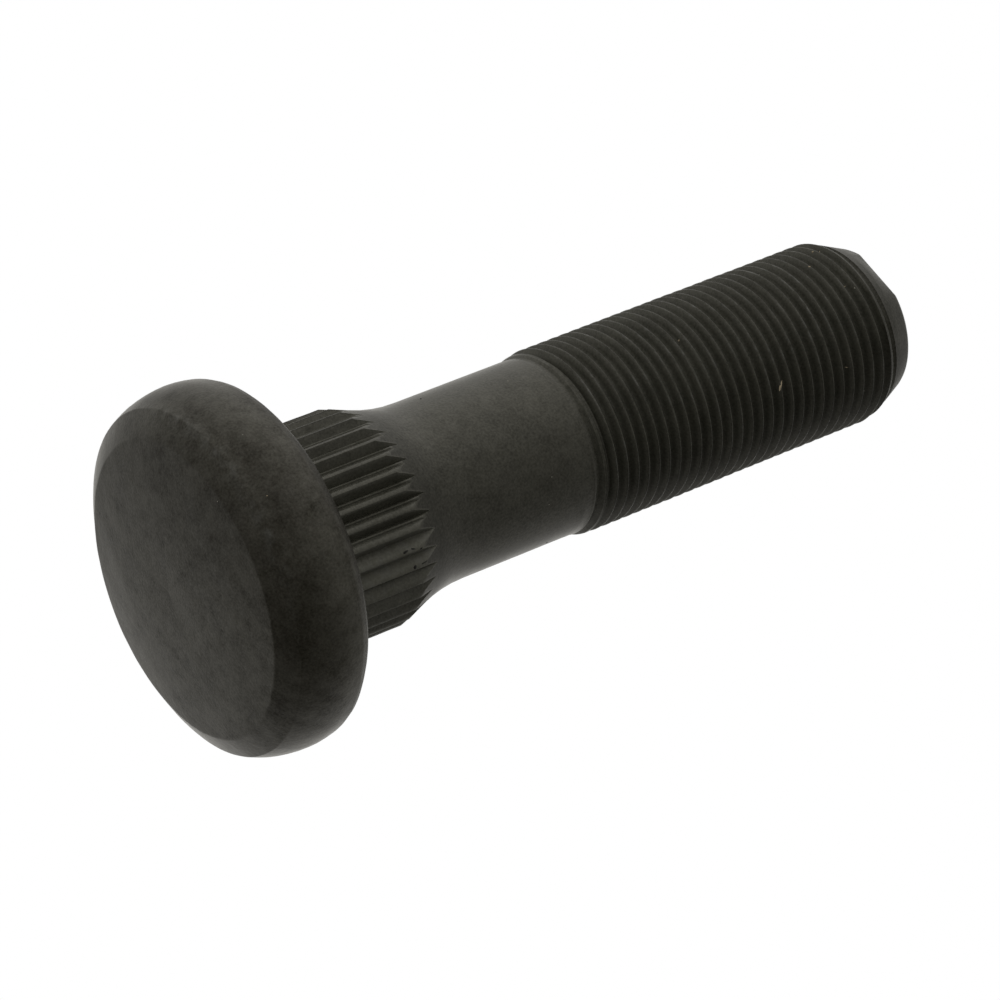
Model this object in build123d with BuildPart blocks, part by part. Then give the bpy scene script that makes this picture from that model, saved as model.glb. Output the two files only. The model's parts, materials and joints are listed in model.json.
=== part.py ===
from build123d import *
from math import cos, radians, sin, sqrt, tan
import os

# Press-in wheel stud for a truck hub, one forged, turned and rolled piece, in millimetres.
# It stands on its round head: the small flat in the middle of the crowned face is on the XY
# plane and +Z runs along the axis to the threaded tip. The fine thread is drawn as a plain
# cylinder of its outside size.

# Head
HEAD_HEIGHT = 12.65          # middle of the face to the seat under the head
HEAD_DIAMETER = 42.4         # at the widest point of the rounded rim
WIDEST_HEIGHT = 8.45         # height of that widest point above the middle of the face
FACE_CROWN = 1.65            # how far the middle of the face stands proud of its edge
FACE_FLAT_DIAMETER = 6.0     # flat in the middle of the face
BEVEL_HEIGHT = 1.95          # bevel from the edge of the face up to the rim
BEVEL_WIDTH = 2.75           # and outwards
RIM_SWELL = 1.15             # how far the widest point stands out past the bevel
BACK_EDGE_RADIUS = 2.0       # round between the rim and the seat

# Serrated collar that is pressed into the hub
KNURL_DIAMETER = 25.65       # over the crests
KNURL_LENGTH = 12.15         # full crests, from the seat to the chamfer
KNURL_TEETH = 36
GROOVE_DEPTH = 1.0
GROOVE_LEANING_ANGLE = 43.5  # leaning wall of a groove, to the radius through its root
GROOVE_UPRIGHT_ANGLE = 21.0  # steep wall across from it, which ends at a narrow step
STEP_DEPTH = 0.46            # edge of that step, below the crests
FOLD_DEPTH = 0.6             # fold at the back of the step, left by the rolling
FOLD_OFFSET = 0.52           # across, from the root of the groove to the fold
FOLD_WALL_ANGLE = 42.0       # wall from the fold up to the crest
KNURL_CHAMFER_ANGLE = 20.4   # chamfer to the axis
NECK_RADIUS = 20.0           # hollow round from the chamfer to the shank

# Shank and thread
SHANK_DIAMETER = 21.0        # plain rolling blank between collar and thread
THREAD_DIAMETER = 22.0       # outside of the M22 x 1.5 thread
THREAD_LENGTH = 45.8         # from the first full crest to the tip, lead-in included
THREAD_RUN_OUT = 0.6         # length of the step from the shank up to the crests
OVERALL_LENGTH = 98.2
LEAD_IN_ANGLE = 24.0         # chamfer of the tip to the axis
LEAD_IN_LENGTH = 5.1         # from the last full crest to the tip
TIP_EDGE_RADIUS = 1.2        # round on the edge of the end face

CUT_MARGIN = 0.3             # how far a cutter stands clear of the metal it removes

# Heights along the axis
bevel_end = FACE_CROWN + BEVEL_HEIGHT
knurl_end = HEAD_HEIGHT + KNURL_LENGTH
thread_start = OVERALL_LENGTH - THREAD_LENGTH
lead_in_start = OVERALL_LENGTH - LEAD_IN_LENGTH

# Radii
head_radius = HEAD_DIAMETER / 2
bevel_radius = head_radius - RIM_SWELL
face_radius = bevel_radius - BEVEL_WIDTH
flat_radius = FACE_FLAT_DIAMETER / 2
knurl_radius = KNURL_DIAMETER / 2
root_radius = knurl_radius - GROOVE_DEPTH
shank_radius = SHANK_DIAMETER / 2
thread_radius = THREAD_DIAMETER / 2
tip_radius = thread_radius - LEAD_IN_LENGTH * tan(radians(LEAD_IN_ANGLE))

# The rim is an arc that starts at the bevel and has its outermost point at the widest height.
rim_rise = WIDEST_HEIGHT - bevel_end
rim_arc_radius = (rim_rise**2 + RIM_SWELL**2) / (2 * RIM_SWELL)
back_drop = HEAD_HEIGHT - WIDEST_HEIGHT
back_radius = head_radius - rim_arc_radius + sqrt(rim_arc_radius**2 - back_drop**2)

# The chamfer of the collar runs straight on to the point where it would meet the shank,
# and the neck round is tangent to both.
chamfer = radians(KNURL_CHAMFER_ANGLE)
chamfer_foot = knurl_end + (knurl_radius - shank_radius) / tan(chamfer)
neck_tangent = NECK_RADIUS * tan(chamfer / 2)
neck_start = (
    shank_radius + neck_tangent * sin(chamfer),
    chamfer_foot - neck_tangent * cos(chamfer),
)
neck_end = (shank_radius, chamfer_foot + neck_tangent)

# Cutter of one groove in the plane across the axis, as (outwards, across) from its root:
# the leaning wall on one side, the steep wall, step, fold and crest wall on the other.
groove_reach = GROOVE_DEPTH + CUT_MARGIN
leaning_side = (groove_reach, -groove_reach * tan(radians(GROOVE_LEANING_ANGLE)))
crest_side = (groove_reach, FOLD_OFFSET + (FOLD_DEPTH + CUT_MARGIN) * tan(radians(FOLD_WALL_ANGLE)))
fold = (GROOVE_DEPTH - FOLD_DEPTH, FOLD_OFFSET)
step_rise = GROOVE_DEPTH - STEP_DEPTH
step_edge = (step_rise, step_rise * tan(radians(GROOVE_UPRIGHT_ANGLE)))

os.makedirs("parts", exist_ok=True)

with BuildPart() as wheel_stud:
    # Half section on the XZ plane, turned about the axis
    with BuildSketch(Plane.XZ) as half_section:
        with BuildLine():
            Line((0, 0), (flat_radius, 0))
            TangentArc((flat_radius, 0), (face_radius, FACE_CROWN), tangent=(1, 0))
            Line((face_radius, FACE_CROWN), (bevel_radius, bevel_end))
            ThreePointArc(
                (bevel_radius, bevel_end),
                (head_radius, WIDEST_HEIGHT),
                (back_radius, HEAD_HEIGHT),
            )
            Line((back_radius, HEAD_HEIGHT), (knurl_radius, HEAD_HEIGHT))
            Line((knurl_radius, HEAD_HEIGHT), (knurl_radius, knurl_end))
            Line((knurl_radius, knurl_end), neck_start)
            TangentArc(neck_start, neck_end, tangent=(-sin(chamfer), cos(chamfer)))
            Line(neck_end, (shank_radius, thread_start - THREAD_RUN_OUT))
            Line((shank_radius, thread_start - THREAD_RUN_OUT), (thread_radius, thread_start))
            Line((thread_radius, thread_start), (thread_radius, lead_in_start))
            Line((thread_radius, lead_in_start), (tip_radius, OVERALL_LENGTH))
            Line((tip_radius, OVERALL_LENGTH), (0, OVERALL_LENGTH))
            Line((0, OVERALL_LENGTH), (0, 0))
        make_face()
        back_corner = half_section.vertices().sort_by_distance((back_radius, HEAD_HEIGHT))[0]
        fillet(back_corner, BACK_EDGE_RADIUS)
        tip_corner = half_section.vertices().sort_by_distance((tip_radius, OVERALL_LENGTH))[0]
        fillet(tip_corner, TIP_EDGE_RADIUS)
    revolve(axis=Axis.Z)

    # Serrations: straight grooves from the seat outwards that run out on the chamfer
    with BuildSketch(Plane.XY.offset(HEAD_HEIGHT)):
        with PolarLocations(root_radius, KNURL_TEETH):
            Polygon((0, 0), leaning_side, crest_side, fold, step_edge, align=None)
    extrude(amount=chamfer_foot - HEAD_HEIGHT, mode=Mode.SUBTRACT)

wheel_stud.part.label = "wheel_stud"
export_step(wheel_stud.part, "parts/wheel_stud.step")
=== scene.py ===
import json
from math import acos, atan2, cos, pi, radians, sin, sqrt, tan

import bpy
import numpy as np
from mathutils import Matrix, Vector
from mathutils.bvhtree import BVHTree


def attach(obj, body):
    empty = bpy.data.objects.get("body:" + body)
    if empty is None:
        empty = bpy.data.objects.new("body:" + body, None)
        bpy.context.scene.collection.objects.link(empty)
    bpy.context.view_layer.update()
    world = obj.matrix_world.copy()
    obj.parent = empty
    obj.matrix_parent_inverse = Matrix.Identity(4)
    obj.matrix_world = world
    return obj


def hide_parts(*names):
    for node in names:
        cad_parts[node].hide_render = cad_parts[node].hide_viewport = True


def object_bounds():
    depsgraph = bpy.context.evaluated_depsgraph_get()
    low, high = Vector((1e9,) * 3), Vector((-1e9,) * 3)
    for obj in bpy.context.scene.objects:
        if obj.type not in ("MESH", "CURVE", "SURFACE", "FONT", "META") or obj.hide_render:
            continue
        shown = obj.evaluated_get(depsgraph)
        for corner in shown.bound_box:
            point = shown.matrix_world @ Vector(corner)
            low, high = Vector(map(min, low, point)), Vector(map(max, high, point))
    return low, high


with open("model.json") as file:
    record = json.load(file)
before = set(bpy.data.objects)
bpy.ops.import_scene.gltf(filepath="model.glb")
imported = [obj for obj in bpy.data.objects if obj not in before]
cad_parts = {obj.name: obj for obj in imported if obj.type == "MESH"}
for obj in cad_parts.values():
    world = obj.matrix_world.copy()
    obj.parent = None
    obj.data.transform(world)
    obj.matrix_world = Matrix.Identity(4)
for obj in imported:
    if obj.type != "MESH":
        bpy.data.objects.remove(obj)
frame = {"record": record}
cad_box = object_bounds()

# Press-in wheel stud that stands on its head, with specks of lint and dirt on it.
# Sizes are in millimetres. Angles round the axis start on the side that faces the camera, -Y, and grow
# towards +X. A tone says how light the finish is: 1 is plain, less is duller and more is greyer. In places
# the tones carry painted light and painted shade as well, as said where they are set.
MM = 0.001

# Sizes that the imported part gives
mounts = {mount["name"]: mount for mount in frame["record"]["mounts"]}
seat_height = mounts["head_seat"]["pos_m"][2] / MM
crest_radius = mounts["thread"]["dims"]["r_mm"]
tip_height = cad_box[1].z / MM

# Head, with heights above the edge of its face
HEAD_HEIGHT = 11.0           # from the edge of the face to the seat
FACE_RADIUS = 17.28
FACE_FLAT_RADIUS = 3.0       # flat in the middle of the crowned face
FACE_EDGE_ROUND = 0.9
BEVEL_RADIUS = 20.03
BEVEL_HEIGHT = 1.94
BEVEL_EDGE_ROUND = 0.45
RIM_RADIUS = 21.19           # at the widest point
RIM_HEIGHT = 6.8             # of that point
RIM_ARC = 10.5               # radius of the rounded rim
BACK_EDGE_ROUND = 2.5
FACE_SHIFT = (0.34, -0.08)   # the trimmed face, bevel and rim sit a little off the axis
BEVEL_SHIFT = (0.18, 0.40)
RIM_SHIFT = (0.10, 0.05)
SEAT_EVEN_RADIUS = 14.0      # up to here the seat is even and on the axis
SEAT_BLEND = 4.0             # and this much further out it follows the rim
lift = seat_height - HEAD_HEIGHT   # height of the face's edge, the crown being below it

# Serrated collar, neck and shank, with heights above the seat
KNURL_RADIUS = 12.82
KNURL_LENGTH = 12.16
TEETH = 36
GROOVE_DEPTH = 1.0
CHAMFER = radians(20.4)
NECK_ARC = 20.0
SHANK_RADIUS = 10.49
grooves_end = KNURL_LENGTH + GROOVE_DEPTH / tan(CHAMFER)
neck_foot = KNURL_LENGTH + (KNURL_RADIUS - SHANK_RADIUS) / tan(CHAMFER)

# One serration: degrees from the root of its groove, and how deep the wall lies there below the crests.
# A steep wall, a narrow step with the fold that the rolling left, the rounded crest and a leaning wall.
TOOTH = (
    (0.0, GROOVE_DEPTH), (0.3, 0.86), (0.65, 0.56), (0.85, 0.47), (1.25, 0.42), (1.7, 0.45), (2.1, 0.57),
    (2.4, 0.60), (2.9, 0.44), (3.4, 0.28), (4.0, 0.16), (4.7, 0.075), (5.4, 0.02), (6.0, 0.01),
    (6.6, 0.12), (7.4, 0.38), (8.5, 0.70), (9.4, 0.90),
)
FOLD = (0.0, 4.0)            # degrees between which the step and the fold lie
FOLD_SHUT = (6.0, 20.0)      # degrees round the collar, over which they become pressed shut
FOLD_OPEN = (110.0, 200.0)   # and open again
FOLD_LEAN = 0.12             # degrees by which a fold strays to either side
FOLD_UNEVEN = 0.15           # how far an open fold may be shut
TOOTH_SEED = 8

# Thread, a right-hand helix, with heights above the seat
PITCH = 1.5
ROOT_RADIUS = 10.08
CREST_AT = 40.41             # height of a crest on the side that faces the camera
RUN_OUT = (37.3, 40.0)       # heights between which the grooves grow to full depth
LEAD_IN_AT = 80.45           # height where the tapered end begins
LEAD_IN_SLOPE = tan(radians(24.0))
TIP_ROUND = 1.3
CREST_ROUND = ((0.06, 0.015), (0.115, 0.06), (0.17, 0.145))   # distance from the crest, and drop there
FLANK_MIDDLE = 0.40          # distances from the crest along the axis
FLANK_FOOT = 0.575
FLANK_APEX = 0.086           # where the flank's line meets the height of the crest
FLANK_SLOPE = tan(radians(60))
CREST_LOSS = 0.012           # how far the crests are worn down
RUN_OUT_MARGIN = 0.8         # from the last ring of the shank to the run-out
TAPER_MARGIN = 0.5           # from the end of the grooves on the taper to its first plain ring
thread_from = RUN_OUT[0] - RUN_OUT_MARGIN
thread_to = LEAD_IN_AT + (crest_radius - ROOT_RADIUS) / LEAD_IN_SLOPE + TAPER_MARGIN

# Smooth waves that make a surface uneven: their height, their length and the seed of their draws
FORGED_WAVES = ((0.018, 8.0, 3), (0.008, 3.0, 4))
ROLLED_WAVES = (0.012, 3.0, 7)
TURNED_WAVES = (0.006, 9.0, 11)
CREST_WAVES = (0.012, 4.0, 23)
WORN_WAVES = (0.9, 5.0, 19)
WAVE_COUNT = 10
WAVE_LENGTHS = (0.6, 1.6)    # shortest and longest, in parts of the length
WAVE_SUM = 3                 # about how high so many waves of one unit add up

# Rings and columns of the skin
HEAD_COLUMNS = 240
STEM_COLUMNS = 168
ARC_STEPS = 4
FACE_RINGS = 30
FACE_MARGIN = 0.5            # from the middle of the face to its first ring, and from its last to the edge
RIM_RINGS = 9
RIM_MARGINS = (0.9, 1.85)    # from the bevel's edge to the first of them, and from the last to the seat
SEAT_RADII = (16.0, 14.0)
SEAT_GAP = 0.4               # from the collar's crests to the last ring of the seat
COLLAR_GAP = 0.2             # and to the ring that has the columns of the collar
COLLAR_RINGS = 13
CHAMFER_SHARES = (0.3, 0.65, 1.0)   # places of the chamfer's rings past the grooves
CHAMFER_PAST = 0.25          # from the end of the grooves to the last of them
NECK_PAST = 0.5              # and to the first ring of the neck
SHANK_RINGS = 10
SPARE_TURNS = 2              # turns of the thread past its ends, from which it is cut
THREAD_CLEAR = 0.03          # least distance of its points from the rings at its ends
END_RADII = (6.5, 5.0, 3.0, 1.0)
SAME_HEIGHT = 0.01
SHARP_ANGLE = radians(38)

# Tones of the head. A window is a pair of cosines of the angle from a place, from none to all.
HEAD_TONE = 0.94
BEVEL_TONE = 1.0
SHOULDER_TONE = 0.55         # on the round behind the rim
SHOULDER_HEIGHTS = (RIM_HEIGHT + 1.5, HEAD_HEIGHT - 0.5)
TOP_SHADE_TONE = 0.77              # painted shade: the upper side of the face and rim is duller
TOP_SHADE_AT = radians(-75)
TOP_SHADE_WINDOW = (-0.35, 0.6)
TOP_SHADE_HEIGHTS = (4.0, 8.0)     # between which it ends
NEAR_RIM_LIGHT_TONE = 1.6          # painted light: the rim is greyer on the side that faces the camera
NEAR_RIM_LIGHT_AT = radians(22)
NEAR_RIM_LIGHT_WINDOW = (0.8, 1.0)
EDGE_HIGHLIGHT = 0.45             # painted highlight along the edge between bevel and rim
EDGE_HIGHLIGHT_WIDTH = 0.18
EDGE_AT = radians(-35)
EDGE_WINDOW = (0.4, 0.95)
EDGE_SHADE = 0.15            # how much darker the rim is beside it
EDGE_SHADE_AT = 1.7          # height of that above the edge
EDGE_SHADE_WIDTH = 1.2

# Tones of the collar and shank
COLLAR_TONE = 1.9
UPPER_CREST_SHADE_TONE = 0.6       # painted shade: the crests of the upper side are duller
UPPER_WINDOW = (0.3, 0.9)    # sines of the angle upwards
CREST_DEPTH = 0.4            # how deep the crests reach
LIGHTER_PATCH_TONE = 2.0             # added on a lighter patch of the collar
LIGHTER_PATCH_SHARE = 0.45
LIGHTER_PATCH_AT = radians(30)
LIGHTER_PATCH_SPREAD = radians(15)
CHAMFER_TONE = 0.75
SHANK_TONE = 1.25
SHANK_TONE_AT = 3.0          # above the foot of the neck

# Tones of the thread: of its flanks by the distance from the crest, of its crests and of the tapered end
# by the sine of the angle, from the upper side to the underside. These carry painted light and shade: the
# flanks are greyer towards the crest than at the root, the crests are duller on the upper side and the
# underside and greyer near the middle, and the tapered end is duller towards the upper side and the
# underside.
FLANK_LIGHT_AND_SHADE = ((-0.75, 1.5), (-0.17, 2.4), (0.17, 1.8), (0.40, 1.25), (0.75, 1.5))
CREST_LIGHT_AND_SHADE = (
    (-0.9, 0.5), (-0.7, 0.4), (-0.5, 0.45), (-0.17, 1.0),
    (0.17, 1.8), (0.5, 0.9), (0.8, 0.2), (0.95, 0.6),
)
TAPER_TONE_AND_SHADE = (
    (-0.94, 0.65), (-0.77, 0.83), (-0.5, 0.9), (0.35, 0.95),
    (0.5, 0.83), (0.71, 0.68), (0.87, 0.6),
)
END_TONE = 0.95              # on the end face
CUT_SHARE = 0.9              # part of the taper's tone where it cuts the crests
WORN_SHARE = 0.1             # how bright the crests are rubbed, apart from their waves
UNDER_WINDOW = (0.2, 0.9)    # sines of the angle downwards, over which that ends

# Black steel. Noise has a scale in one metre, a detail and a roughness, and a range that is spread.
STEEL_DARK = (0.0114, 0.0111, 0.0069)
STEEL_LIGHT = (0.0308, 0.0301, 0.0217)
STEEL_GREY = (0.0208, 0.0211, 0.0176)   # added for each unit of tone above 1
# rubbed steel, also used for the lighter patch on the collar and the painted edge highlight
STEEL_WORN_AND_HIGHLIGHT = (0.105, 0.107, 0.104)
FORGED_WARMTH = (0.0016, 0.0002, 0.0)   # added on the forged head
SHEEN_TINT = (1.0, 0.98, 0.9, 1.0)
CLOUD = (230.0, 5.0, 0.65)
BLOTCH = (620.0, 3.0, 0.6)
GRAIN = (3600.0, 2.0, 0.6)
SPECK = (900.0, 2.0, 0.5)
SOFT_RANGE = (0.3, 0.7)
GRAIN_RANGE = (0.25, 0.75)
SPECK_RANGE = (0.40, 0.72)
UNIT = (0.0, 1.0)
LIGHT_BY_CLOUD = (-0.1, 0.6)            # share of the light steel
LIGHT_BY_GRAIN = (-0.3, 0.8)
ROUGH_BY_CLOUD = (0.305, 0.335)
ROUGH_BY_BLOTCH = (-0.03, 0.03)
RUBBED_AND_HIGHLIGHT_SMOOTHER = 0.06                  # taken from the roughness where the steel is made lighter: rubbed crests, the lighter patch and the painted edge highlight
GREY_ROUGHER = 0.1                      # added to it for each unit of tone above 1
DULL_ROUGHER = 0.4                      # and below 1
SHEEN_BY_BLOTCH = (0.42, 0.58)
SHEEN_BY_GRAIN = (-0.13, 0.13)
SHEEN_BY_CLOUD = (-0.05, 0.05)
FORGED_BY_BLOTCH = (-0.09, 0.09)        # added to the sheen on the forged head
FORGED_BY_CLOUD = (-0.08, 0.08)
FORGED_PITS = 1.7                       # how much deeper the blotches are pitted there
BUMP_STRENGTH = 0.5
BUMP_DEPTH = 0.04

# Camera of the photograph
IMAGE_SIZE = 1000
IMAGE_MIDDLE = (IMAGE_SIZE - 1) / 2
SENSOR = 36.0
CLIP_START = 10.0
FOCAL_PIXELS = 5517.8
FACE_PIXEL = (180.79, 586.75)   # middle of the circle round the face
FACE_DISTANCE = 598.22          # from the camera, along its line of sight
AXIS_RISE = radians(21.614)     # slope of the axis in the picture
AXIS_AWAY = radians(30.895)     # lean of the axis away from the camera

# Flat knocked into the edge of the tip, by two pixels of its edge
KNOCK_PIXELS = ((865.6, 261.5), (889.3, 288.5))

# Lint and dirt, each by its pixel: its turn in the picture in degrees, its length, width and colour
TAN = (0.40, 0.33, 0.23)
PALE = (0.33, 0.32, 0.28)
DARK = (0.011, 0.011, 0.009)
FLECK_PIXELS = (
    ((780.6, 385.3), 62, 1.35, 0.34, TAN), ((846.2, 367.0), 4, 0.7, 0.22, TAN),
    ((678.3, 339.8), 60, 0.5, 0.32, TAN), ((812.3, 251.4), 10, 0.55, 0.42, TAN),
    ((819.0, 251.3), 70, 0.45, 0.3, TAN), ((808.6, 266.2), -25, 0.4, 0.2, TAN),
    ((759.0, 274.4), 0, 0.3, 0.25, PALE), ((854.3, 287.6), 0, 0.3, 0.26, PALE),
    ((844.6, 285.8), 40, 0.45, 0.24, TAN), ((863.4, 390.4), 45, 0.65, 0.2, PALE),
    ((266.6, 495.2), 20, 0.3, 0.2, TAN), ((216.9, 500.9), 80, 0.3, 0.22, PALE),
    ((242.3, 434.0), 0, 0.25, 0.2, PALE), ((551.3, 476.5), 0, 0.27, 0.2, PALE),
    ((548.6, 504.2), 0, 0.25, 0.18, PALE), ((507.5, 380.4), 0, 0.3, 0.22, PALE),
    ((420.5, 398.2), 0, 0.35, 0.3, DARK), ((546.4, 542.0), 30, 0.35, 0.25, DARK),
    ((405.5, 551.4), 28, 1.2, 0.42, DARK), ((413.0, 548.3), 8, 0.9, 0.3, DARK),
    ((421.5, 547.2), 30, 0.6, 0.24, DARK), ((415.0, 566.2), 40, 0.8, 0.55, DARK),
    ((423.5, 562.2), 28, 1.0, 0.22, DARK),
)
FLECK_SIDES = 8
FLECK_RISE = 0.3             # height of a fleck, in parts of its width
FLECK_SINK = 0.2             # how deep it lies in the steel, in parts of its width
FLECK_TAPER = 0.35           # how much narrower it is at one end
FLECK_PEAK = 0.1             # how far its top is from its middle, in parts of its length
LINT_NOISE = 4000.0
LINT_SHADES = (0.7, 1.2)
LINT_ROUGHNESS = 0.9

# Floor
FLOOR_HALF = 1500.0
FLOOR_DROP = 0.05            # below the face that the stud stands on
FLOOR_FADE = (120.0, 600.0)  # from the axis, over which the floor turns white
FLOOR_COLOUR = (0.86, 0.86, 0.85, 1.0)

# Light, by directions in the picture's right, up and back, and the cosines of the angle from each
LIGHT_FROM = (0.18, 0.98, -0.06)   # large soft light overhead
LIGHT_RANGE = (0.43, 1.01)
LIGHT_LEVEL = 0.486
DARK_FROM = (0.06, -0.78, 0.62)    # dark part of the room, below the camera
DARK_RANGE = (-0.05, 1.31)
ROOM_LEVEL = 0.54
SHADE_FROM = (0.95, 0.10, -0.30)   # dimmer on the right
SHADE_RANGE = (0.50, 0.98)
SHADE_LEVEL = 0.12
BACKDROP_FROM = (0, 0, -1)         # white behind the stud
BACKDROP_RANGE = (0.74, 0.95)
ROOM_TINT = (1.0, 0.98, 0.93)
WHITE = (1.0, 1.0, 1.0)


# Camera


def picture_basis():
    """Right, up and back of the picture as directions of the part's frame, and the camera's place."""
    axis = Vector((cos(AXIS_RISE) * cos(AXIS_AWAY), sin(AXIS_RISE) * cos(AXIS_AWAY), -sin(AXIS_AWAY)))
    pixels = Vector((FACE_PIXEL[0] - IMAGE_MIDDLE, IMAGE_MIDDLE - FACE_PIXEL[1], -FOCAL_PIXELS))
    face = pixels * (FACE_DISTANCE / FOCAL_PIXELS)
    near = (-face + axis * face.dot(axis)).normalized()
    side = axis.cross(near)
    to_part = Matrix((side, -near, axis))
    right, up, back = to_part.col
    place = to_part @ -face + Vector((0, 0, lift))
    return right.copy(), up.copy(), back.copy(), place


picture_right, picture_up, picture_back, camera_place = picture_basis()


def make_camera():
    data = bpy.data.cameras.new("camera")
    data.sensor_width = SENSOR
    data.lens = FOCAL_PIXELS * SENSOR / IMAGE_SIZE
    data.clip_start = CLIP_START * MM
    camera = bpy.data.objects.new("camera", data)
    turn = Matrix((picture_right, picture_up, picture_back)).transposed()
    camera.matrix_world = Matrix.Translation(camera_place * MM) @ turn.to_4x4()
    bpy.context.scene.collection.objects.link(camera)
    bpy.context.scene.camera = camera


def ray_through(pixel):
    """Direction from the camera through a pixel of the picture."""
    across = (pixel[0] - IMAGE_MIDDLE) / FOCAL_PIXELS
    rise = (IMAGE_MIDDLE - pixel[1]) / FOCAL_PIXELS
    return (picture_right * across + picture_up * rise - picture_back).normalized()


# Curves and waves


def smooth_step(low, high, value):
    """0 up to low, 1 from high on, and a smooth rise between them."""
    share = np.clip((value - low) / (high - low), 0, 1)
    return share * share * (3 - 2 * share)


def bell(value, middle, width):
    """1 at the middle, with a smooth fall to 0 on both sides."""
    return np.exp(-(((value - middle) / width) ** 2))


def along_table(table, value):
    """Value of a table of (place, value) at places, in straight lines between its own."""
    return np.interp(value, *zip(*table))


def uneven(points, height, length, seed):
    """Smooth waves through space, of about a height and a length, at points."""
    draw = np.random.default_rng(seed)
    total = np.zeros(points.shape[:-1])
    for _ in range(WAVE_COUNT):
        line = draw.normal(size=3)
        line *= 2 * pi / (np.linalg.norm(line) * length * draw.uniform(*WAVE_LENGTHS))
        total += np.sin(points @ line + draw.uniform(0, 2 * pi))
    return height * (total / WAVE_SUM)


def rounded(corners):
    """Line through corners of (radius, height, round), with an arc of its round for each corner."""
    line = [corners[0][:2]]
    for before, corner, after in zip(corners, corners[1:], corners[2:]):
        point = np.array(corner[:2])
        arc = corner[2]
        if arc == 0:
            line.append(tuple(point))
            continue
        back = np.array(before[:2]) - point
        on = np.array(after[:2]) - point
        back /= np.linalg.norm(back)
        on /= np.linalg.norm(on)
        half = acos(np.clip(back @ on, -1, 1)) / 2
        centre = point + (back + on) / np.linalg.norm(back + on) * arc / sin(half)
        start = point + back * arc / tan(half) - centre
        end = point + on * arc / tan(half) - centre
        angle = atan2(start[1], start[0])
        sweep = atan2(end[1], end[0]) - angle
        sweep = (sweep + pi) % (2 * pi) - pi
        for step in range(ARC_STEPS + 1):
            at = angle + sweep * step / ARC_STEPS
            line.append((centre[0] + arc * cos(at), centre[1] + arc * sin(at)))
    line.append(corners[-1][:2])
    return np.array(line)


# Surface of the stud


def columns(count):
    """Angles of so many columns round the axis."""
    return np.arange(count) * 2 * pi / count


def turn_points(angles, radii, heights, shift=(0.0, 0.0)):
    """Points at angles round the axis, which may be shifted across."""
    heights = np.broadcast_to(heights, angles.shape)
    return np.stack([radii * np.sin(angles) + shift[0], shift[1] - radii * np.cos(angles), heights], -1)


class Skin:
    """Rings of points from the middle of the head's face to the middle of the tip, and their faces."""

    def __init__(self):
        self.points = []
        self.wear = []
        self.tone = []
        self.forged = []
        self.faces = []
        self.count = 0

    def add(self, points, wear=0.0, tone=1.0, forged=0.0):
        """Adds points with their wear and highlight, or how much lighter rubbing and painted highlights
        make them, their tone, and 1 where the steel is forged. Returns their numbers."""
        points = np.asarray(points, float).reshape(-1, 3)
        index = np.arange(self.count, self.count + len(points))
        self.points.append(points)
        for values, value in ((self.wear, wear), (self.tone, tone), (self.forged, forged)):
            values.append(np.broadcast_to(np.asarray(value, float), len(points)))
        self.count += len(points)
        return index

    def band(self, low, high):
        """Quads between two rings of as many points."""
        faces = np.stack([low, np.roll(low, -1), np.roll(high, -1), high], 1)
        self.faces.extend(faces.tolist())

    def stitch(self, low, low_angles, high, high_angles):
        """Triangles between two rings whose points stand at other angles."""
        low_next = np.append(low_angles[1:], low_angles[0] + 2 * pi)
        high_next = np.append(high_angles[1:], high_angles[0] + 2 * pi)
        i = j = 0
        while i < len(low) or j < len(high):
            a, b = low[i % len(low)], high[j % len(high)]
            if j == len(high) or (i < len(low) and low_next[i] <= high_next[j]):
                i += 1
                self.faces.append([a, low[i % len(low)], b])
            else:
                j += 1
                self.faces.append([a, high[j % len(high)], b])

    def cap(self, ring, point, first=False):
        """Triangles from the last ring, or the first, to a point in its middle."""
        tip = self.add([point])[0]
        ends = np.roll(ring, -1)
        for a, b in zip(ring.tolist(), ends.tolist()):
            self.faces.append([tip, b, a] if first else [a, b, tip])


def head_section():
    """Half section of the head from the middle of its face to the seat, as (radius, height)."""
    corners = []
    reach = FACE_RADIUS - FACE_FLAT_RADIUS
    face_arc = (reach**2 + lift**2) / (2 * lift)
    for radius in np.linspace(FACE_MARGIN, FACE_RADIUS - FACE_MARGIN, FACE_RINGS):
        rise = face_arc - sqrt(face_arc**2 - max(radius - FACE_FLAT_RADIUS, 0) ** 2)
        corners.append((radius, rise - lift, 0))
    corners.append((FACE_RADIUS, 0.0, FACE_EDGE_ROUND))
    corners.append(((FACE_RADIUS + BEVEL_RADIUS) / 2, BEVEL_HEIGHT / 2, 0))
    corners.append((BEVEL_RADIUS, BEVEL_HEIGHT, BEVEL_EDGE_ROUND))
    arc_middle = RIM_RADIUS - RIM_ARC
    for height in np.linspace(BEVEL_HEIGHT + RIM_MARGINS[0], HEAD_HEIGHT - RIM_MARGINS[1], RIM_RINGS):
        corners.append((arc_middle + sqrt(RIM_ARC**2 - (height - RIM_HEIGHT) ** 2), height, 0))
    back = arc_middle + sqrt(RIM_ARC**2 - (HEAD_HEIGHT - RIM_HEIGHT) ** 2)
    corners.append((back, HEAD_HEIGHT, BACK_EDGE_ROUND))
    for radius in (*SEAT_RADII, KNURL_RADIUS + SEAT_GAP):
        corners.append((radius, HEAD_HEIGHT, 0))
    return rounded(corners)


def head_shift(radius, on_bevel, on_rim, on_seat):
    """How far a ring of the head sits off the axis."""
    shift = np.array(FACE_SHIFT) * min(radius / FACE_RADIUS, 1) * (1 - on_bevel) * (1 - on_rim)
    shift = shift + np.array(BEVEL_SHIFT) * on_bevel * (1 - on_rim)
    return shift + np.array(RIM_SHIFT) * on_rim * on_seat


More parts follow.
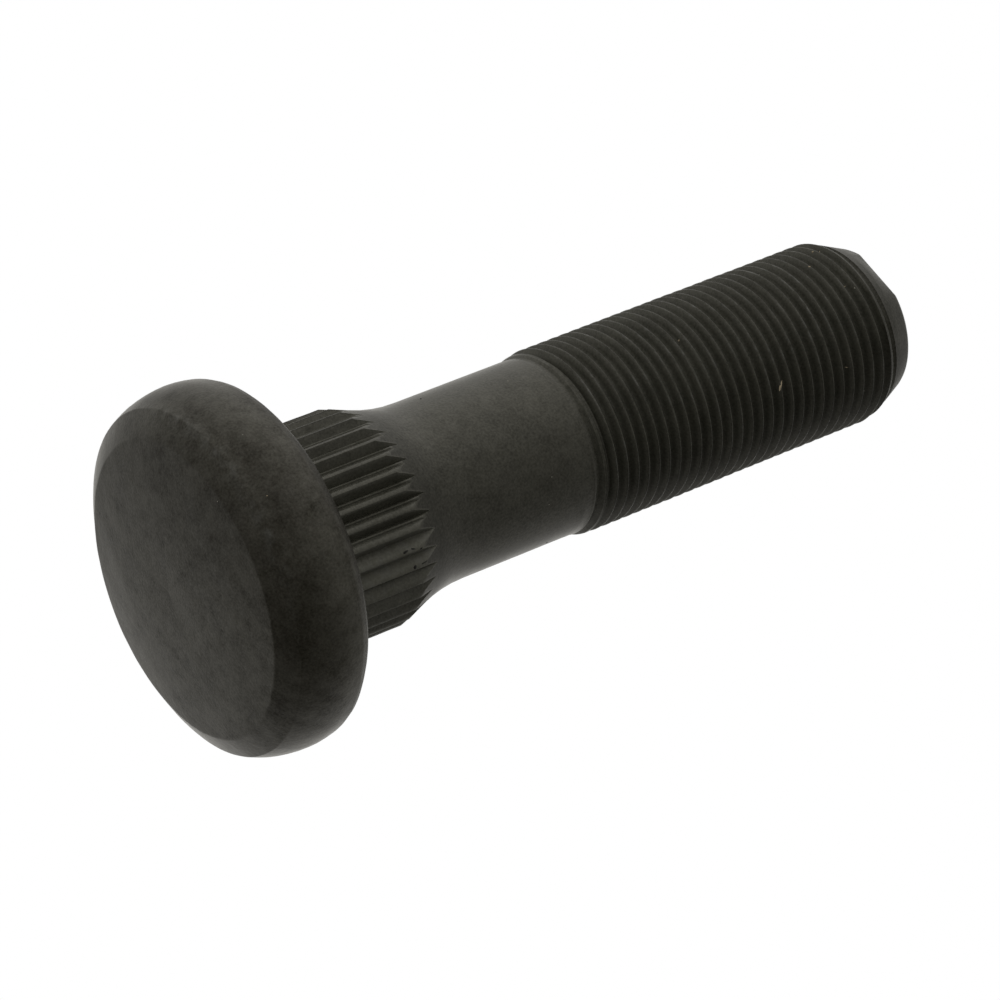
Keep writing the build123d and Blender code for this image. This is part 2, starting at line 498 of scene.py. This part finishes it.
def head_finish(angles, radius, height, on_bevel, on_rim):
    """Painted edge highlight and tone round a ring of the head, the tone with painted light and shade."""
    off_bevel = 1 - on_bevel * (1 - on_rim)
    # painted light: greyer on the rim's side that faces the camera
    near = on_rim * smooth_step(*NEAR_RIM_LIGHT_WINDOW, np.cos(angles - NEAR_RIM_LIGHT_AT))
    # painted shade: duller on the upper side of the face and rim
    top_shade = smooth_step(*TOP_SHADE_WINDOW, np.cos(angles - TOP_SHADE_AT)) * min(radius / FACE_RADIUS, 1)
    top_shade = top_shade * (1 - smooth_step(*TOP_SHADE_HEIGHTS, height))
    tone = HEAD_TONE + (TOP_SHADE_TONE - HEAD_TONE) * top_shade * off_bevel + (NEAR_RIM_LIGHT_TONE - HEAD_TONE) * near
    tone = tone + (BEVEL_TONE - HEAD_TONE) * (1 - off_bevel)
    tone = tone + (SHOULDER_TONE - tone) * smooth_step(*SHOULDER_HEIGHTS, height)
    # painted highlight along the edge between bevel and rim, and painted shade on the rim beside it
    at_edge = smooth_step(*EDGE_WINDOW, np.cos(angles - EDGE_AT))
    wear = EDGE_HIGHLIGHT * at_edge * bell(height, BEVEL_HEIGHT, EDGE_HIGHLIGHT_WIDTH)
    shade = EDGE_SHADE * at_edge * bell(height, BEVEL_HEIGHT + EDGE_SHADE_AT, EDGE_SHADE_WIDTH)
    return wear, tone * (1 - shade)


def add_head(skin):
    """Head from its face to the seat. Returns its last ring."""
    section = head_section()
    angles = columns(HEAD_COLUMNS)
    step = np.gradient(section, axis=0)
    length = np.hypot(step[:, 0], step[:, 1])
    out = np.stack([step[:, 1] / length, -step[:, 0] / length], 1)
    last = None
    for (radius, height), normal in zip(section, out):
        on_bevel = np.clip((radius - FACE_RADIUS) / (BEVEL_RADIUS - FACE_RADIUS), 0, 1)
        on_rim = np.clip((height - BEVEL_HEIGHT) / (RIM_HEIGHT - BEVEL_HEIGHT), 0, 1)
        on_seat = 1.0
        if height >= HEAD_HEIGHT - SAME_HEIGHT:
            on_seat = np.clip((radius - SEAT_EVEN_RADIUS) / SEAT_BLEND, 0, 1)
        shift = head_shift(radius, on_bevel, on_rim, on_seat)
        base = turn_points(angles, radius, lift + height, shift)
        bulge = sum(uneven(base, *waves) for waves in FORGED_WAVES) * on_seat
        points = turn_points(angles, radius + normal[0] * bulge, lift + height + normal[1] * bulge, shift)
        wear, tone = head_finish(angles, radius, height, on_bevel, on_rim)
        ring = skin.add(points, wear, tone, 1.0)
        if last is None:
            skin.cap(ring, (*np.mean(points[:, :2], 0), lift + height), first=True)
        else:
            skin.band(last, ring)
        last = ring
    return last


def tooth_columns():
    """Angles of the columns round the collar, and how deep the wall lies at each."""
    at, depth = np.array(TOOTH).T
    in_fold = (at > FOLD[0]) & (at < FOLD[1])
    straight = np.interp(at, FOLD, np.interp(FOLD, at, depth))
    draw = np.random.default_rng(TOOTH_SEED)
    angles = []
    depths = []
    for tooth in range(TEETH):
        turn = tooth * 360 / TEETH
        shut = smooth_step(*FOLD_SHUT, turn) - smooth_step(*FOLD_OPEN, turn)
        lean = draw.uniform(-FOLD_LEAN, FOLD_LEAN)
        angles.append(np.radians(at + in_fold * lean + turn))
        folded = depth + (straight - depth) * max(shut, draw.uniform(0.0, FOLD_UNEVEN))
        depths.append(np.where(in_fold, folded, depth))
    return np.concatenate(angles), np.concatenate(depths)


def add_collar(skin, seat_ring):
    """Serrated collar from the seat to the end of its chamfer. Returns its last ring and its angles."""
    angles, depths = tooth_columns()
    # a lighter and greyer patch of the collar, about 30 degrees round from the side that faces the camera
    lighter_patch = bell((angles - LIGHTER_PATCH_AT + pi) % (2 * pi) - pi, 0.0, LIGHTER_PATCH_SPREAD)
    # painted shade: the crests of the upper side are duller
    top_crest_shade = np.clip(1 - depths / CREST_DEPTH, 0, 1) * smooth_step(*UPPER_WINDOW, -np.sin(angles))
    tone = COLLAR_TONE + LIGHTER_PATCH_TONE * lighter_patch + (UPPER_CREST_SHADE_TONE - COLLAR_TONE) * top_crest_shade
    last = skin.add(turn_points(angles, KNURL_RADIUS + COLLAR_GAP, seat_height), 0.0, SHOULDER_TONE)
    skin.stitch(seat_ring, columns(HEAD_COLUMNS), last, angles)
    for share in np.linspace(0, 1, COLLAR_RINGS):
        base = turn_points(angles, KNURL_RADIUS - depths, seat_height + KNURL_LENGTH * share)
        wall = KNURL_RADIUS - depths + uneven(base, *ROLLED_WAVES)
        ends = KNURL_LENGTH + (KNURL_RADIUS - wall) / tan(CHAMFER)
        ring = skin.add(turn_points(angles, wall, seat_height + ends * share), LIGHTER_PATCH_SHARE * lighter_patch, tone)
        skin.band(last, ring)
        last = ring
    chamfer_end = grooves_end + CHAMFER_PAST
    for share in CHAMFER_SHARES:
        heights = ends + (chamfer_end - ends) * share
        cone = KNURL_RADIUS - (heights - KNURL_LENGTH) * tan(CHAMFER)
        ring = skin.add(turn_points(angles, cone, seat_height + heights), 0.0, CHAMFER_TONE)
        skin.band(last, ring)
        last = ring
    return last, angles


def add_shank(skin, collar_ring, collar_angles):
    """Neck and plain shank up to the start of the thread. Returns its last ring."""
    angles = columns(STEM_COLUMNS)
    start = grooves_end + NECK_PAST
    section = rounded([
        (KNURL_RADIUS, KNURL_LENGTH, 0),
        (SHANK_RADIUS, neck_foot, NECK_ARC),
        (SHANK_RADIUS, thread_from, 0),
    ])
    bend = section[1:-1, 1]
    plain = np.linspace(bend[-1], section[-1, 1], SHANK_RINGS)[1:]
    heights = [start, *bend[bend > start], *plain]
    radii = np.interp(heights, section[:, 1], section[:, 0])
    last = None
    for radius, height in zip(radii, heights):
        base = turn_points(angles, radius, seat_height + height)
        turned = radius + uneven(base, *TURNED_WAVES)
        tone = np.interp(height, (start, neck_foot + SHANK_TONE_AT), (CHAMFER_TONE, SHANK_TONE))
        ring = skin.add(turn_points(angles, turned, seat_height + height), 0.0, tone)
        if last is None:
            skin.stitch(collar_ring, collar_angles, ring, angles)
        else:
            skin.band(last, ring)
        last = ring
    return last


def thread_rows():
    """Distance from the crest and radius of each row of points across one pitch."""
    side = [(at, crest_radius - drop) for at, drop in CREST_ROUND]
    side += [(at, crest_radius - (at - FLANK_APEX) * FLANK_SLOPE) for at in (FLANK_MIDDLE, FLANK_FOOT)]
    rows = [(-at, radius) for at, radius in reversed(side)]
    return np.array([*rows, (0.0, crest_radius), *side, (PITCH / 2, ROOT_RADIUS)])


def lead_in(heights):
    """Radius of the tapered end at heights above the seat."""
    return crest_radius - (heights - LEAD_IN_AT) * LEAD_IN_SLOPE


# tone of the tapered end round it, with painted shade: duller towards the upper side and the underside
def taper_tone_and_shade(angles):
    return along_table(TAPER_TONE_AND_SHADE, np.sin(angles))


def add_thread(skin, low_ring):
    """Thread in rows along its helix, between the shank and a ring on the taper, which it returns."""
    rows = thread_rows()
    per_turn = len(rows)
    first = int((thread_from - CREST_AT) // PITCH) - SPARE_TURNS
    last = int((thread_to - CREST_AT) // PITCH) + SPARE_TURNS
    from_crest, profile = np.tile(rows, (last - first, 1)).T[:, :, None]
    along = np.concatenate([CREST_AT + PITCH * turn + rows[:, 0] for turn in range(first, last)])
    angles = columns(STEM_COLUMNS)
    heights = along[:, None] + PITCH * angles[None, :] / (2 * pi)
    spread = np.broadcast_to(angles, heights.shape)
    base = turn_points(spread, crest_radius, seat_height + heights)
    grown = smooth_step(*RUN_OUT, heights)
    on_crest = np.clip(1 - np.abs(from_crest) / CREST_ROUND[-1][0], 0, 1)

    radii = np.clip(
        profile,
        SHANK_RADIUS + (ROOT_RADIUS - SHANK_RADIUS) * grown,
        SHANK_RADIUS + (crest_radius - SHANK_RADIUS) * grown,
    )
    radii = radii - on_crest * (CREST_LOSS + uneven(base, *CREST_WAVES)) * grown
    cut = radii > lead_in(heights)
    radii = np.minimum(radii, lead_in(heights))

    # painted shade and light: crests duller on the upper side and the underside, greyer near the middle
    crest_light_and_shade = along_table(CREST_LIGHT_AND_SHADE, np.sin(spread))
    # painted light and shade: flanks greyer towards the crest than at the root
    flank_light_and_shade = along_table(FLANK_LIGHT_AND_SHADE, from_crest)
    tone = SHANK_TONE + (flank_light_and_shade - SHANK_TONE + (crest_light_and_shade - flank_light_and_shade) * on_crest) * grown
    tone = np.where(cut, CUT_SHARE * taper_tone_and_shade(spread), tone)
    lightened = np.clip(WORN_SHARE + uneven(base, *WORN_WAVES), 0, 1) * on_crest * grown
    under = smooth_step(*UNDER_WINDOW, np.sin(spread))
    lightened = np.where(cut, 0.0, lightened * (1 - under))

    # What lies past an end is drawn together to the ring there, and the last column meets the first one
    # a turn further on.
    inside = (heights > thread_from + THREAD_CLEAR) & (heights < thread_to - THREAD_CLEAR)
    table = np.where(heights < (thread_from + thread_to) / 2, low_ring[None, :], -1)
    points = turn_points(spread[inside], radii[inside], seat_height + heights[inside])
    table[inside] = skin.add(points, lightened[inside], tone[inside])
    high_points = turn_points(angles, lead_in(thread_to), seat_height + thread_to)
    high_ring = skin.add(high_points, 0.0, taper_tone_and_shade(angles))
    table = np.where(table < 0, high_ring[None, :], table)
    seam = np.append(table[per_turn:, 0], np.full(per_turn, high_ring[0]))
    table = np.concatenate([table, seam[:, None]], 1)
    for low, high in zip(table, table[1:]):
        for face in np.stack([low[:-1], low[1:], high[1:], high[:-1]], 1).tolist():
            kept = [point for k, point in enumerate(face) if point != face[k - 1]]
            if len(set(kept)) == len(kept) and len(kept) > 2:
                skin.faces.append(kept)
    return high_ring


def add_tip(skin, ring):
    """Plain end of the taper, its rounded edge and the end face."""
    angles = columns(STEM_COLUMNS)
    end = tip_height - seat_height
    section = rounded([
        (lead_in(thread_to), thread_to, 0),
        (lead_in(end), end, TIP_ROUND),
        (END_RADII[0], end, 0),
    ])
    flat_from = section[-2][0]
    edge = [(radius, height, taper_tone_and_shade(angles)) for radius, height in section[1:-2]]
    flat = [(radius, end, END_TONE) for radius in (flat_from, *END_RADII)]
    last = ring
    for radius, height, tone in edge + flat:
        ring = skin.add(turn_points(angles, radius, seat_height + height), 0.0, tone)
        skin.band(last, ring)
        last = ring
    skin.cap(last, (0, 0, seat_height + end))


def knock(points):
    """Points with the flat knocked into the edge of the tip."""
    out = np.array(ray_through(KNOCK_PIXELS[1]).cross(ray_through(KNOCK_PIXELS[0])).normalized())
    over = np.maximum((points - np.array(camera_place)) @ out, 0)
    return points - np.where(points[:, 2] > seat_height + LEAD_IN_AT, over, 0.0)[:, None] * out


def make_stud(material):
    skin = Skin()
    seat_ring = add_head(skin)
    collar_ring, collar_angles = add_collar(skin, seat_ring)
    shank_ring = add_shank(skin, collar_ring, collar_angles)
    thread_ring = add_thread(skin, shank_ring)
    add_tip(skin, thread_ring)
    mesh = bpy.data.meshes.new("stud")
    mesh.from_pydata((knock(np.concatenate(skin.points)) * MM).tolist(), [], skin.faces)
    mesh.validate()
    for name, values in (("wear", skin.wear), ("tone", skin.tone), ("forged", skin.forged)):
        attribute = mesh.attributes.new(name, "FLOAT", "POINT")
        attribute.data.foreach_set("value", np.concatenate(values).astype(np.float32))
    mesh.polygons.foreach_set("use_smooth", np.ones(len(mesh.polygons), bool))
    mesh.set_sharp_from_angle(angle=SHARP_ANGLE)
    mesh.materials.append(material)
    stud = bpy.data.objects.new("stud", mesh)
    bpy.context.scene.collection.objects.link(stud)
    return stud


# Finish


class Nodes:
    """Short calls for building a node tree."""

    def __init__(self, tree):
        self.tree = tree
        tree.nodes.clear()

    def add(self, kind, **settings):
        node = self.tree.nodes.new(kind)
        for name, value in settings.items():
            setattr(node, name, value)
        return node

    def link(self, source, target):
        self.tree.links.new(source, target)

    def attribute(self, name, output):
        return self.add("ShaderNodeAttribute", attribute_name=name).outputs[output]

    def noise(self, coordinates, scale, detail=2.0, roughness=0.5):
        node = self.add("ShaderNodeTexNoise")
        node.inputs["Scale"].default_value = scale
        node.inputs["Detail"].default_value = detail
        node.inputs["Roughness"].default_value = roughness
        self.link(coordinates, node.inputs["Vector"])
        return node.outputs["Fac"]

    def span(self, value, source, target, smooth=False):
        """A value's source range spread over a target range."""
        node = self.add("ShaderNodeMapRange")
        node.interpolation_type = "SMOOTHSTEP" if smooth else "LINEAR"
        self.link(value, node.inputs["Value"])
        for name, number in zip(("From Min", "From Max", "To Min", "To Max"), (*source, *target)):
            node.inputs[name].default_value = number
        return node.outputs["Result"]

    def math(self, operation, a, b):
        node = self.add("ShaderNodeMath", operation=operation)
        for socket, value in zip(node.inputs, (a, b)):
            if isinstance(value, (int, float)):
                socket.default_value = value
            else:
                self.link(value, socket)
        return node.outputs[0]

    def plus(self, a, b):
        return self.math("ADD", a, b)

    def minus(self, a, b):
        return self.math("SUBTRACT", a, b)

    def times(self, a, b):
        return self.math("MULTIPLY", a, b)

    def mix(self, share, a, b):
        """Colour between two others."""
        node = self.add("ShaderNodeMix", data_type="RGBA")
        for socket, value in ((node.inputs[0], share), (node.inputs[6], a), (node.inputs[7], b)):
            if isinstance(value, tuple):
                socket.default_value = (*value, 1.0)
            else:
                self.link(value, socket)
        return node.outputs[2]


def black_steel():
    material = bpy.data.materials.new("black_steel")
    material.use_nodes = True
    nodes = Nodes(material.node_tree)
    place = nodes.add("ShaderNodeTexCoord").outputs["Object"]
    cloud = nodes.noise(place, *CLOUD)
    blotch = nodes.noise(place, *BLOTCH)
    grain = nodes.noise(place, *GRAIN)
    speck = nodes.noise(place, *SPECK)
    lightened = nodes.attribute("wear", "Fac")
    tone = nodes.attribute("tone", "Fac")
    forged = nodes.attribute("forged", "Fac")
    dull = nodes.math("MINIMUM", tone, 1.0)
    above_plain = nodes.minus(tone, dull)
    below_plain = nodes.minus(1.0, dull)

    light_by_cloud = nodes.span(cloud, SOFT_RANGE, LIGHT_BY_CLOUD)
    share = nodes.plus(light_by_cloud, nodes.span(grain, GRAIN_RANGE, LIGHT_BY_GRAIN))
    grey = nodes.add("ShaderNodeVectorMath", operation="SCALE")
    grey.inputs[0].default_value = STEEL_GREY
    nodes.link(above_plain, grey.inputs["Scale"])
    plain = nodes.add("ShaderNodeVectorMath", operation="MULTIPLY_ADD")
    nodes.link(nodes.mix(share, STEEL_DARK, STEEL_LIGHT), plain.inputs[0])
    nodes.link(dull, plain.inputs[1])
    nodes.link(grey.outputs[0], plain.inputs[2])
    warm = nodes.add("ShaderNodeVectorMath", operation="MULTIPLY_ADD")
    nodes.link(forged, warm.inputs[0])
    warm.inputs[1].default_value = FORGED_WARMTH
    nodes.link(plain.outputs[0], warm.inputs[2])
    # lighter where the steel is rubbed, on the lighter patch of the collar and along the painted edge
    # highlight
    rubbed_and_highlight = nodes.times(lightened, nodes.span(speck, SPECK_RANGE, UNIT))
    colour = nodes.mix(rubbed_and_highlight, warm.outputs[0], STEEL_WORN_AND_HIGHLIGHT)

    rough_by_cloud = nodes.span(cloud, SOFT_RANGE, ROUGH_BY_CLOUD)
    rough = nodes.plus(rough_by_cloud, nodes.span(blotch, SOFT_RANGE, ROUGH_BY_BLOTCH))
    rough = nodes.minus(rough, nodes.times(rubbed_and_highlight, RUBBED_AND_HIGHLIGHT_SMOOTHER))
    rough = nodes.plus(rough, nodes.times(above_plain, GREY_ROUGHER))
    rough = nodes.plus(rough, nodes.times(below_plain, DULL_ROUGHER))

    sheen_by_blotch = nodes.span(blotch, SOFT_RANGE, SHEEN_BY_BLOTCH)
    sheen = nodes.plus(sheen_by_blotch, nodes.span(grain, GRAIN_RANGE, SHEEN_BY_GRAIN))
    sheen = nodes.plus(sheen, nodes.span(cloud, SOFT_RANGE, SHEEN_BY_CLOUD))
    forged_by_blotch = nodes.span(blotch, SOFT_RANGE, FORGED_BY_BLOTCH)
    mottle = nodes.plus(forged_by_blotch, nodes.span(cloud, SOFT_RANGE, FORGED_BY_CLOUD))
    sheen = nodes.plus(sheen, nodes.times(mottle, forged))
    sheen = nodes.times(sheen, dull)

    bump = nodes.add("ShaderNodeBump")
    bump.inputs["Strength"].default_value = BUMP_STRENGTH
    bump.inputs["Distance"].default_value = BUMP_DEPTH * MM
    pitted = nodes.times(blotch, nodes.plus(1.0, nodes.times(forged, FORGED_PITS)))
    nodes.link(nodes.plus(grain, pitted), bump.inputs["Height"])

    shader = nodes.add("ShaderNodeBsdfPrincipled")
    nodes.link(colour, shader.inputs["Base Color"])
    nodes.link(rough, shader.inputs["Roughness"])
    nodes.link(sheen, shader.inputs["Specular IOR Level"])
    shader.inputs["Specular Tint"].default_value = SHEEN_TINT
    nodes.link(bump.outputs["Normal"], shader.inputs["Normal"])
    out = nodes.add("ShaderNodeOutputMaterial")
    nodes.link(shader.outputs["BSDF"], out.inputs["Surface"])
    return material


# Lint


def lint_finish():
    material = bpy.data.materials.new("lint")
    material.use_nodes = True
    nodes = Nodes(material.node_tree)
    place = nodes.add("ShaderNodeTexCoord").outputs["Object"]
    shade = nodes.span(nodes.noise(place, LINT_NOISE), SOFT_RANGE, LINT_SHADES)
    colour = nodes.add("ShaderNodeVectorMath", operation="SCALE")
    nodes.link(nodes.attribute("own_colour", "Color"), colour.inputs[0])
    nodes.link(shade, colour.inputs["Scale"])
    shader = nodes.add("ShaderNodeBsdfPrincipled")
    nodes.link(colour.outputs[0], shader.inputs["Base Color"])
    shader.inputs["Roughness"].default_value = LINT_ROUGHNESS
    out = nodes.add("ShaderNodeOutputMaterial")
    nodes.link(shader.outputs["BSDF"], out.inputs["Surface"])
    return material


def make_lint(stud):
    """Flecks that lie on the stud where the pixels show them, as one piece."""
    surface = BVHTree.FromPolygons(
        [vertex.co for vertex in stud.data.vertices],
        [polygon.vertices for polygon in stud.data.polygons],
    )
    points = []
    faces = []
    colours = []
    for pixel, turn, length, width, colour in FLECK_PIXELS:
        foot, normal, _, _ = surface.ray_cast(camera_place * MM, ray_through(pixel))
        line = picture_right * cos(radians(turn)) + picture_up * sin(radians(turn))
        along = (line - normal * line.dot(normal)).normalized()
        across = normal.cross(along)
        sink = normal * (FLECK_SINK * width)
        first = len(points)
        for side in range(FLECK_SIDES):
            at = 2 * pi * side / FLECK_SIDES
            taper = 1 - FLECK_TAPER * cos(at)
            edge = along * (cos(at) * length / 2) + across * (sin(at) * taper * width / 2) - sink
            points.append(foot + edge * MM)
        points.append(foot + (normal * FLECK_RISE * width - along * FLECK_PEAK * length) * MM)
        ring = list(range(first, first + FLECK_SIDES))
        for a, b in zip(ring, ring[1:] + ring[:1]):
            faces.append((a, b, first + FLECK_SIDES))
        faces.append(tuple(reversed(ring)))
        colours += [(*colour, 1.0)] * (FLECK_SIDES + 1)
    mesh = bpy.data.meshes.new("lint")
    mesh.from_pydata(points, [], faces)
    attribute = mesh.attributes.new("own_colour", "FLOAT_COLOR", "POINT")
    attribute.data.foreach_set("color", np.array(colours, np.float32).ravel())
    mesh.materials.append(lint_finish())
    lint = bpy.data.objects.new("lint", mesh)
    bpy.context.scene.collection.objects.link(lint)
    return lint


# Stage and light


def pale_floor():
    """Pale near the stud and white far off, seen from above only."""
    material = bpy.data.materials.new("pale_floor")
    material.use_nodes = True
    nodes = Nodes(material.node_tree)
    pale = nodes.add("ShaderNodeBsdfDiffuse")
    pale.inputs["Color"].default_value = FLOOR_COLOUR
    clear = nodes.add("ShaderNodeBsdfTransparent")
    white = nodes.add("ShaderNodeEmission")
    place = nodes.add("ShaderNodeTexCoord").outputs["Object"]
    length = nodes.add("ShaderNodeVectorMath", operation="LENGTH")
    nodes.link(place, length.inputs[0])
    fade_range = [distance * MM for distance in FLOOR_FADE]
    far = nodes.span(length.outputs["Value"], fade_range, UNIT, smooth=True)
    fade = nodes.add("ShaderNodeMixShader")
    nodes.link(far, fade.inputs[0])
    nodes.link(pale.outputs[0], fade.inputs[1])
    nodes.link(white.outputs[0], fade.inputs[2])
    sides = nodes.add("ShaderNodeMixShader")
    nodes.link(nodes.add("ShaderNodeNewGeometry").outputs["Backfacing"], sides.inputs[0])
    nodes.link(fade.outputs[0], sides.inputs[1])
    nodes.link(clear.outputs[0], sides.inputs[2])
    out = nodes.add("ShaderNodeOutputMaterial")
    nodes.link(sides.outputs[0], out.inputs["Surface"])
    return material


def make_floor():
    """Floor just under the head."""
    half = FLOOR_HALF * MM
    below = -FLOOR_DROP * MM
    corners = [(-half, -half, below), (half, -half, below), (half, half, below), (-half, half, below)]
    mesh = bpy.data.meshes.new("floor")
    mesh.from_pydata(corners, [], [(0, 1, 2, 3)])
    floor = bpy.data.objects.new("floor", mesh)
    floor.visible_diffuse = False
    floor.visible_glossy = False
    floor.visible_shadow = False
    bpy.context.scene.collection.objects.link(floor)
    mesh.materials.append(pale_floor())


def make_world():
    """White behind the stud, a soft light overhead and a dim room in front."""
    world = bpy.data.worlds.new("studio")
    bpy.context.scene.world = world
    world.use_nodes = True
    nodes = Nodes(world.node_tree)
    direction = nodes.add("ShaderNodeTexCoord").outputs["Generated"]

    def towards(vector, source, target):
        """Level by the angle from a direction."""
        node = nodes.add("ShaderNodeVectorMath", operation="DOT_PRODUCT")
        line = picture_right * vector[0] + picture_up * vector[1] + picture_back * vector[2]
        node.inputs[1].default_value = line.normalized()
        nodes.link(direction, node.inputs[0])
        return nodes.span(node.outputs["Value"], source, target, smooth=True)

    room = towards(DARK_FROM, DARK_RANGE, (ROOM_LEVEL, 0.0))
    overhead = towards(LIGHT_FROM, LIGHT_RANGE, (0.0, LIGHT_LEVEL))
    shade = towards(SHADE_FROM, SHADE_RANGE, (0.0, SHADE_LEVEL))
    level = nodes.minus(nodes.plus(room, overhead), shade)
    backdrop = towards(BACKDROP_FROM, BACKDROP_RANGE, UNIT)
    path = nodes.add("ShaderNodeLightPath")
    by_camera = path.outputs["Is Camera Ray"]
    mirrored = nodes.math("MAXIMUM", path.outputs["Is Glossy Ray"], path.outputs["Is Transmission Ray"])
    seen = nodes.math("MAXIMUM", by_camera, nodes.times(mirrored, backdrop))
    background = nodes.add("ShaderNodeBackground")
    nodes.link(nodes.mix(by_camera, ROOM_TINT, WHITE), background.inputs["Color"])
    nodes.link(nodes.math("MAXIMUM", level, seen), background.inputs["Strength"])
    out = nodes.add("ShaderNodeOutputWorld")
    nodes.link(background.outputs[0], out.inputs["Surface"])


make_camera()
stud = make_stud(black_steel())
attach(stud, "root")
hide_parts("wheel_stud")
lint = make_lint(stud)
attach(lint, "root")
make_floor()
make_world()
bpy.context.scene.view_settings.view_transform = "Standard"
